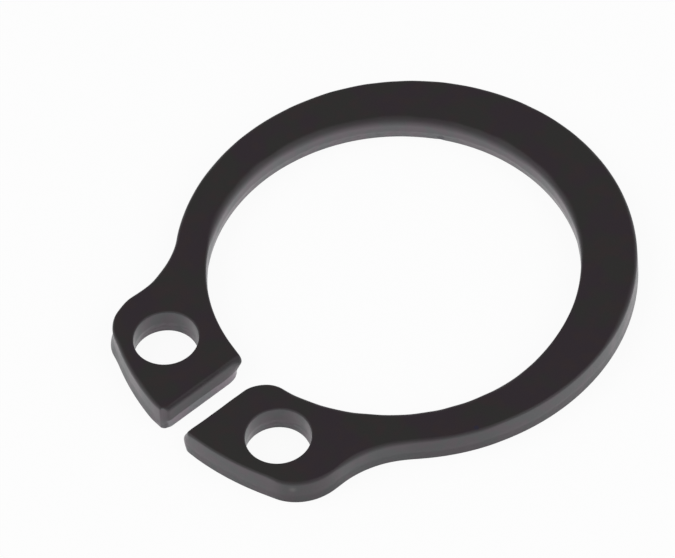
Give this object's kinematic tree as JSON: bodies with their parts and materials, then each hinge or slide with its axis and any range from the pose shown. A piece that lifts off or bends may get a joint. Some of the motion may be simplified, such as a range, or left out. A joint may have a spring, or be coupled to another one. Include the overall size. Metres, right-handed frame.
{
  "type": "external retaining ring",
  "caption": "Flat split ring of spring steel for a shaft groove, with a lug and a plier hole on each side of its gap.",
  "frame": {"origin": "centre of the bore, on the plane of the underside", "axes": "+Z along the bore axis towards the face with the rolled edge; the gap between the lugs points to -Y, the widest part of the ring to +Y"},
  "size_m": [0.016, 0.0186, 0.001],
  "materials": {
    "phosphated_steel": "matte dark grey phosphate and oil, stamped walls a lighter grey"
  },
  "bodies": {
    "root": {"retaining_ring": "phosphated_steel"}
  },
  "joints": []
}
